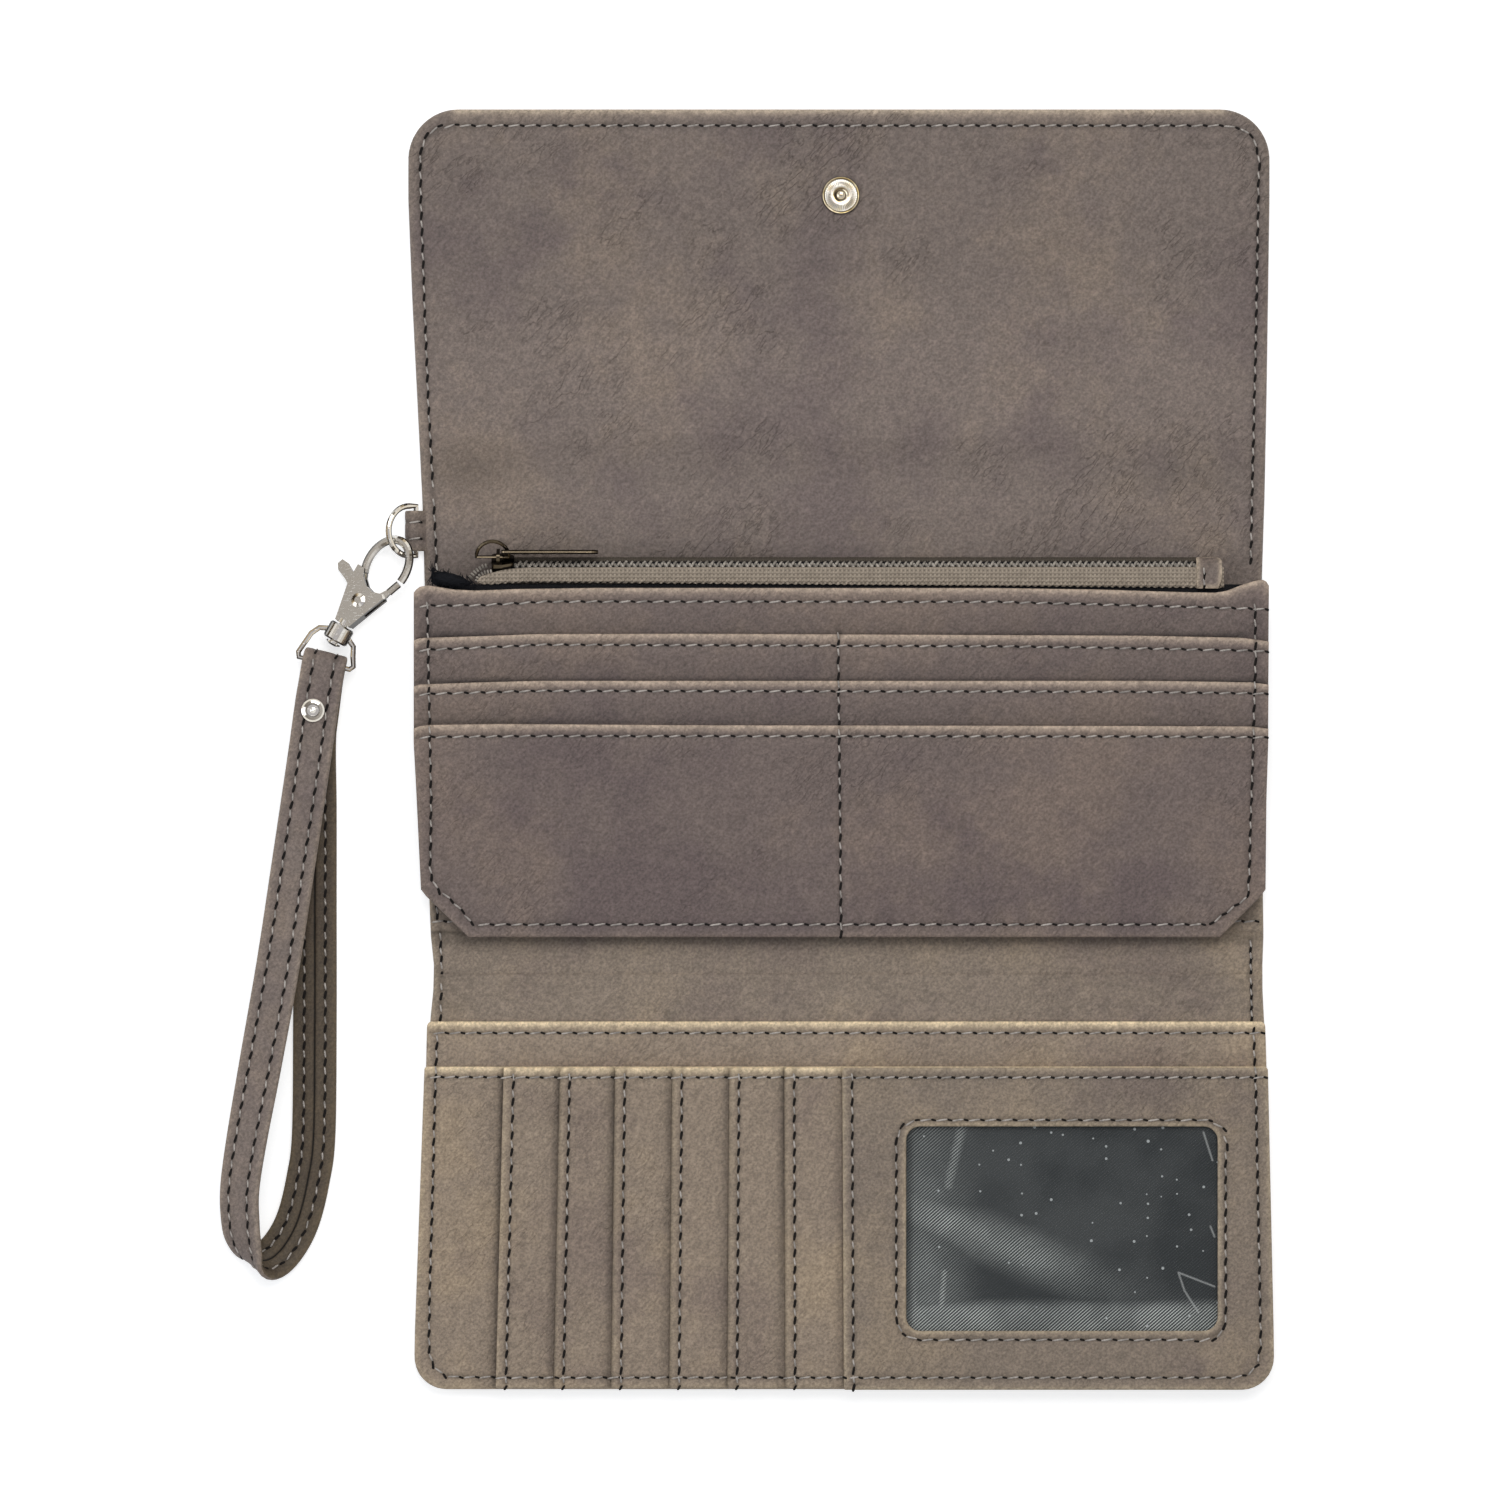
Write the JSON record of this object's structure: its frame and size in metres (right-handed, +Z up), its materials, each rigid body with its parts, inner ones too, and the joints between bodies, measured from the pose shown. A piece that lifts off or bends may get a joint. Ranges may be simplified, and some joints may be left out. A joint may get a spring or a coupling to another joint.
{
  "type": "strap wallet",
  "caption": "Long leather wallet lying open, with a snap flap, zipped coin pocket, card slots, ID window and a wrist strap on a swivel snap hook.",
  "frame": {"origin": "on the table under the back panel, on the wallet's centre line, where the back cover rests", "axes": "+X to the right along the folds, +Y from the front panel to the snap flap, +Z up out of the inside face"},
  "size_m": [0.2504, 0.3046, 0.0125],
  "materials": {
    "body_leather": "soft grained, satin",
    "lining_leather": "smooth, satin",
    "strap_leather": "grained, satin",
    "board": "matt",
    "black_cloth": "twill",
    "tape_cloth": "woven tape",
    "coil_plastic": "moulded coil, satin",
    "clear_film": "clear vinyl, glossy",
    "nickel": "polished, warm",
    "gunmetal": "dark plated, satin",
    "spring_steel": "drawn wire"
  },
  "bodies": {
    "upper_spine": {"upper_spine_cover": "body_leather", "upper_spine_lining": "lining_leather", "ring_tab": "body_leather"},
    "back": {"back_cover": "body_leather", "back_stiffener": "board", "back_lining": "lining_leather", "pocket_front_wall": "body_leather", "card_slot_1": "lining_leather", "card_slot_2": "lining_leather", "card_slot_3": "lining_leather", "side_gusset_left": "body_leather", "side_gusset_right": "body_leather", "zip_pouch_rear": "black_cloth", "zip_pouch_front": "black_cloth", "zip_coil_front": "coil_plastic", "zip_coil_rear": "coil_plastic", "zip_tape_front": "tape_cloth", "zip_tape_rear": "tape_cloth", "zip_end_tab": "body_leather"},
    "flap": {"flap_cover": "body_leather", "flap_stiffener": "board", "flap_lining": "lining_leather", "snap_stud": "nickel", "snap_stud_post": "nickel"},
    "lower_spine": {"lower_spine_cover": "body_leather", "lower_spine_lining": "lining_leather"},
    "front": {"front_cover": "body_leather", "front_stiffener": "board", "front_lining": "lining_leather", "front_slip_pocket": "lining_leather", "slot_base": "lining_leather", "upright_slot_1": "lining_leather", "upright_slot_2": "lining_leather", "upright_slot_3": "lining_leather", "upright_slot_4": "lining_leather", "upright_slot_5": "lining_leather", "upright_slot_6": "lining_leather", "id_panel": "lining_leather", "window_film": "clear_film", "window_backing": "black_cloth", "snap_socket": "nickel", "snap_socket_post": "nickel"},
    "slider": {"zip_slider": "gunmetal"},
    "pull_ring": {"pull_ring": "gunmetal"},
    "pull_tab": {"pull_tab": "gunmetal"},
    "d_ring": {"d_ring": "nickel"},
    "snap_hook": {"hook_body": "nickel", "hook_rivet": "nickel", "gate_spring": "spring_steel"},
    "hook_gate": {"hook_gate": "nickel"},
    "swivel": {"swivel_loop": "nickel"},
    "wrist_strap": {"wrist_strap": "strap_leather", "strap_rivet": "nickel"}
  },
  "joints": [
    {"name": "back_fold", "type": "hinge", "parent": "upper_spine", "child": "back", "pos_m": [0, 0.0502, 0.0031], "axis": [-1, 0, 0], "range_deg": [0, 90]},
    {"name": "flap_fold", "type": "hinge", "parent": "upper_spine", "child": "flap", "pos_m": [0, 0.0716, 0.0031], "axis": [1, 0, 0], "range_deg": [0, 90]},
    {"name": "lower_spine_fold", "type": "hinge", "parent": "back", "child": "lower_spine", "pos_m": [0, -0.0452, 0.0031], "axis": [-1, 0, 0], "range_deg": [0, 90]},
    {"name": "front_fold", "type": "hinge", "parent": "lower_spine", "child": "front", "pos_m": [0, -0.0622, 0.0031], "axis": [-1, 0, 0], "range_deg": [0, 90]},
    {"name": "zip_slide", "type": "slide", "parent": "back", "child": "slider", "axis": [1, 0, 0], "range_m": [0, 0.155], "deforming": ["zip_coil_front", "zip_coil_rear"]},
    {"name": "pull_ring_hinge", "type": "hinge", "parent": "slider", "child": "pull_ring", "pos_m": [-0.0815, 0.04555, 0.00802], "axis": [1, 0, 0], "range_deg": [-10, 40]},
    {"name": "pull_tab_hinge", "type": "hinge", "parent": "pull_ring", "child": "pull_tab", "pos_m": [-0.0789, 0.04665, 0.00889], "axis": [0, 1, 0], "range_deg": [-15, 8]},
    {"name": "ring_swing", "type": "hinge", "parent": "upper_spine", "child": "d_ring", "pos_m": [-0.1012, 0.0518, 0.0023], "axis": [0, 1, 0], "range_deg": [0, 25]},
    {"name": "hook_swing", "type": "hinge", "parent": "d_ring", "child": "snap_hook", "pos_m": [-0.10457, 0.04926, 0.00491], "axis": [-0.8686, 0.4955, 0], "range_deg": [0, 25]},
    {"name": "gate_press", "type": "hinge", "parent": "snap_hook", "child": "hook_gate", "pos_m": [-0.11436, 0.03503, 0.00444], "axis": [-0.2684, 0.1531, 0.9511], "range_deg": [0, 25], "stiffness_Nm_per_rad": 0.02, "springref_deg": -5.73},
    {"name": "swivel_turn", "type": "hinge", "parent": "snap_hook", "child": "swivel", "pos_m": [-0.11955, 0.02741, 0.0042], "axis": [-0.4955, -0.8686, 0], "continuous": true},
    {"name": "strap_hinge", "type": "hinge", "parent": "swivel", "child": "wrist_strap", "pos_m": [-0.12303, 0.0203, 0.0042], "axis": [-0.9703, 0.2419, 0], "range_deg": [0, 40]}
  ],
  "couplings": [
    {"joint": "flap_fold", "follows": "back_fold", "ratio": 1},
    {"joint": "front_fold", "follows": "lower_spine_fold", "ratio": 1}
  ]
}
